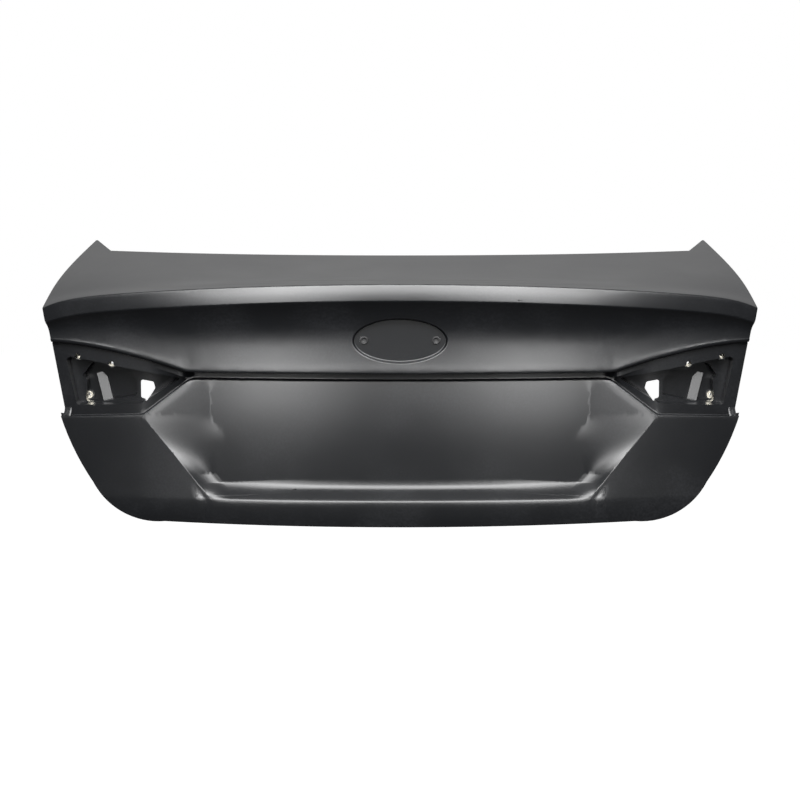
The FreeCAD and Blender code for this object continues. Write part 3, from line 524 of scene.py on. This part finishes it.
def lathedPlug(name):
    low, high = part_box(name)
    middle = (low + high) / 2
    floorFace = plug["recessFloor"] - lid["crestBehindHinges"]
    mesh = bmesh.new()
    row = [mesh.verts.new((radius * mm, -out * mm, 0)) for radius, out in plug["profile"]]
    edges = [mesh.edges.new(pair) for pair in zip(row, row[1:])]
    bmesh.ops.spin(mesh, geom=row + edges, cent=(0, 0, 0), axis=(0, 1, 0), angle=math.tau,
                   steps=plug["sides"], use_merge=True)
    bmesh.ops.remove_doubles(mesh, verts=mesh.verts, dist=plug["weld"] * mm)
    bmesh.ops.recalc_face_normals(mesh, faces=mesh.faces)
    bmesh.ops.translate(mesh, verts=mesh.verts, vec=(middle.x, floorFace * mm, middle.z))
    data = bpy.data.meshes.new(name + "Button")
    mesh.to_mesh(data)
    mesh.free()
    data.polygons.foreach_set("use_smooth", [True] * len(data.polygons))
    data.materials.append(finishes["rubber_plug"])
    button = bpy.data.objects.new(name + "Button", data)
    bpy.context.scene.collection.objects.link(button)
    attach(button, "root")
    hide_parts(name)


for name in ("badge_plug_left", "badge_plug_right"):
    lathedPlug(name)
print("badge plugs")


# Studio

studio = {
    "floorHeight": -2.2,
    "floorSize": 40,
    "floorGlow": 0.9,
    "floorPaint": "E8E8E8",
    "shade": "3C3C3C",  # what the paint reflects of the floor in front
    "paleFrom": 2,  # m ahead of the hinges, where reflections of the floor turn pale
    "paleTo": 5,
    "paleShare": 0.5,
}

floorMesh = bpy.data.meshes.new("studioFloor")
floor = bpy.data.objects.new("studioFloor", floorMesh)
bpy.context.scene.collection.objects.link(floor)
half = studio["floorSize"] / 2
corners = [(x * half, y * half, studio["floorHeight"]) for x, y in ((-1, -1), (1, -1), (1, 1), (-1, 1))]
floorMesh.from_pydata(corners, [], [(0, 1, 2, 3)])


def sweepPaper(name, look):  # white to the camera, grey in the paint where it lies ahead of the lid
    material, tree = newTree(name)
    light = add(tree, "ShaderNodeLightPath").outputs
    paper = add(tree, "ShaderNodeBsdfDiffuse", Color=srgb(look["floorPaint"]))
    glow = add(tree, "ShaderNodeEmission", Strength=look["floorGlow"])
    white = add(tree, "ShaderNodeAddShader", [(0, paper.outputs[0]), (1, glow.outputs[0])])
    dark = add(tree, "ShaderNodeBsdfDiffuse", Color=srgb(look["shade"]))
    clear = add(tree, "ShaderNodeMath", [(0, light["Is Camera Ray"]), (1, light["Is Transmission Ray"])],
                operation="MAXIMUM")
    place = add(tree, "ShaderNodeTexCoord").outputs["Object"]
    axes = add(tree, "ShaderNodeSeparateXYZ", [("Vector", place)])
    ahead = add(tree, "ShaderNodeMapRange", [("Value", axes.outputs["Y"])], From_Min=look["paleFrom"],
                From_Max=look["paleTo"], To_Max=look["paleShare"])
    mirrored = add(tree, "ShaderNodeMath", [(0, light["Is Glossy Ray"]), (1, ahead.outputs[0])],
                   operation="MULTIPLY")
    share = add(tree, "ShaderNodeMath", [(0, clear.outputs[0]), (1, mirrored.outputs[0])],
                operation="MAXIMUM")
    mixed = add(tree, "ShaderNodeMixShader",
                [(0, share.outputs[0]), (1, dark.outputs[0]), (2, white.outputs[0])])
    add(tree, "ShaderNodeOutputMaterial", [("Surface", mixed.outputs[0])])
    return material


floor.data.materials.append(sweepPaper("sweepPaper", studio))

# Sky: white to the camera, dark behind it and pale ahead of the lid, less so overhead and at the horizon
skyLook = {
    "dark": 0.012,
    "pale": 0.6,
    "ahead": (-0.1, 0.7),  # spans of the direction's own axes
    "overhead": (0.45, 0.85),
    "overheadLeast": 0.1,
    "horizon": (0.08, 0.32),
    "horizonLeast": 0.5,
    "horizonMost": 1.25,
}

world = bpy.data.worlds.new("studio")
world.use_nodes = True
bpy.context.scene.world = world
sky = world.node_tree
sky.nodes.clear()
light = add(sky, "ShaderNodeLightPath").outputs
direction = add(sky, "ShaderNodeTexCoord").outputs["Generated"]
axes = add(sky, "ShaderNodeSeparateXYZ", [("Vector", direction)])
towards = add(sky, "ShaderNodeMapRange", [("Value", axes.outputs["Y"])], interpolation_type="SMOOTHSTEP",
              From_Min=skyLook["ahead"][0], From_Max=skyLook["ahead"][1],
              To_Min=skyLook["dark"], To_Max=skyLook["pale"])
overhead = add(sky, "ShaderNodeMapRange", [("Value", axes.outputs["Z"])], interpolation_type="SMOOTHSTEP",
               From_Min=skyLook["overhead"][0], From_Max=skyLook["overhead"][1],
               To_Min=1, To_Max=skyLook["overheadLeast"])
horizon = add(sky, "ShaderNodeMapRange", [("Value", axes.outputs["Z"])], interpolation_type="SMOOTHSTEP",
              From_Min=skyLook["horizon"][0], From_Max=skyLook["horizon"][1],
              To_Min=skyLook["horizonLeast"], To_Max=skyLook["horizonMost"])
lit = add(sky, "ShaderNodeMath", [(0, towards.outputs[0]), (1, overhead.outputs[0])], operation="MULTIPLY")
studioLight = add(sky, "ShaderNodeMath", [(0, lit.outputs[0]), (1, horizon.outputs[0])],
                  operation="MULTIPLY")
clear = add(sky, "ShaderNodeMath", [(0, light["Is Camera Ray"]), (1, light["Is Transmission Ray"])],
            operation="MAXIMUM")
strength = add(sky, "ShaderNodeMath", [(0, clear.outputs[0]), (1, studioLight.outputs[0])],
               operation="MAXIMUM")
background = add(sky, "ShaderNodeBackground", [("Strength", strength.outputs[0])], Color=srgb("FFFFFF"))
add(sky, "ShaderNodeOutputWorld", [("Surface", background.outputs[0])])

softboxes = {
    "leftBox": {"place": (-1.25, -3.9, 1.4), "aim": (-0.35, -0.3, -0.3), "size": (0.85, 3.6), "radiance": 13},
    "rightBox": {"place": (1.25, -3.9, 1.4), "aim": (0.35, -0.3, -0.3), "size": (0.85, 3.6), "radiance": 13},
    "topBox": {"place": (0, -1.9, 1.75), "aim": (0, -0.3, -0.2), "size": (3.2, 1.7), "radiance": 13},
}
for name, box in softboxes.items():
    lamp = bpy.data.lights.new(name, "AREA")
    lamp.shape = "RECTANGLE"
    lamp.size, lamp.size_y = box["size"]
    lamp.energy = box["radiance"] * math.pi * lamp.size * lamp.size_y
    lampObject = bpy.data.objects.new(name, lamp)
    lampObject.location = box["place"]
    aim = Vector(box["aim"]) - Vector(box["place"])
    lampObject.rotation_euler = aim.to_track_quat("-Z", "Y").to_euler()
    lampObject.visible_camera = False
    bpy.context.scene.collection.objects.link(lampObject)
print("studio with", len(softboxes), "soft boxes")


# Camera, level with the deck's rear and looking a little down, as in the photograph

view = {"place": (0, -4.568, 0.3203), "pitch": 7, "lens": 105.2, "sensor": 36}

cameraData = bpy.data.cameras.new("camera")
cameraData.lens = view["lens"]
cameraData.sensor_width = view["sensor"]
camera = bpy.data.objects.new("camera", cameraData)
camera.location = view["place"]
camera.rotation_euler = (math.radians(90 - view["pitch"]), 0, 0)
bpy.context.scene.collection.objects.link(camera)
bpy.context.scene.camera = camera
bpy.context.scene.view_settings.view_transform = "Standard"
